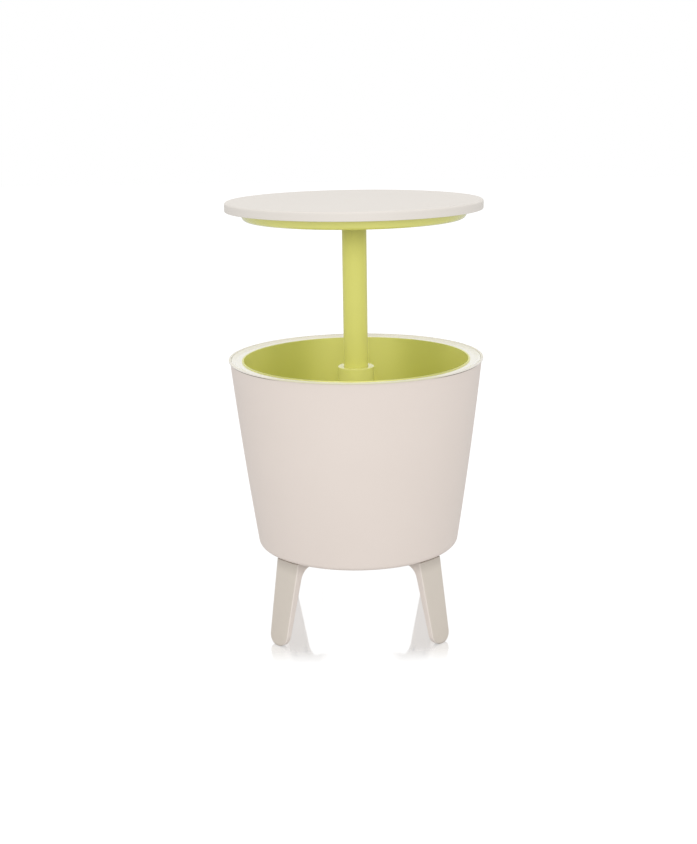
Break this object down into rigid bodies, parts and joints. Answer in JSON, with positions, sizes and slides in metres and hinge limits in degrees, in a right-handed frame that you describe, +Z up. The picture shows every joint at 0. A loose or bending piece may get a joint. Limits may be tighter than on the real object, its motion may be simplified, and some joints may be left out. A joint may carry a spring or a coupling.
{
  "type": "ice bucket coffee table",
  "caption": "Round patio table whose tabletop lifts on a central twist-lock column out of a tapered, double-walled ice bucket on short splayed legs.",
  "frame": {"origin": "on the floor, on the column axis, at the centre of the four feet", "axes": "+Z up along the column, -Y is the front that the picture shows"},
  "size_m": [0.4964, 0.4964, 0.84],
  "materials": {
    "cream_plastic": "satin, faintly mottled moulded polypropylene, warm cream",
    "lime_plastic": "satin to semi-gloss moulded polypropylene, yellow-green lime",
    "seal_rubber": "matt black moulded rubber",
    "screw_steel": "plain stainless self-tapping screw"
  },
  "bodies": {
    "bucket": {"outer_shell": "cream_plastic", "rim_ring": "cream_plastic", "inner_liner": "lime_plastic", "lock_sleeve": "lime_plastic", "sleeve_screws": "screw_steel", "liner_screws": "screw_steel", "leg_front_left": "cream_plastic", "leg_front_right": "cream_plastic", "leg_rear_left": "cream_plastic", "leg_rear_right": "cream_plastic", "leg_screws": "screw_steel", "drain_spout": "lime_plastic", "drain_gasket": "seal_rubber", "drain_nut": "lime_plastic"},
    "shoe": {"guide_shoe": "lime_plastic"},
    "table": {"bayonet_foot": "lime_plastic", "foot_retainer": "lime_plastic", "retainer_screws": "screw_steel", "post_tube": "lime_plastic", "post_screws": "screw_steel", "post_head": "lime_plastic", "head_screws": "screw_steel", "tabletop_dish": "lime_plastic", "tabletop_cover": "cream_plastic", "cover_screws": "screw_steel"},
    "plug": {"drain_plug": "lime_plastic", "plug_seal": "seal_rubber"}
  },
  "joints": [
    {"name": "lift", "type": "slide", "parent": "bucket", "child": "shoe", "axis": [0, 0, 1], "range_m": [-0.2857, 0]},
    {"name": "twist_lock", "type": "hinge", "parent": "shoe", "child": "table", "pos_m": [0, 0, 0.46], "axis": [0, 0, 1], "range_deg": [0, 90]},
    {"name": "drain_pull", "type": "slide", "parent": "bucket", "child": "plug", "axis": [0, 0, -1], "range_m": [0, 0.03]}
  ]
}
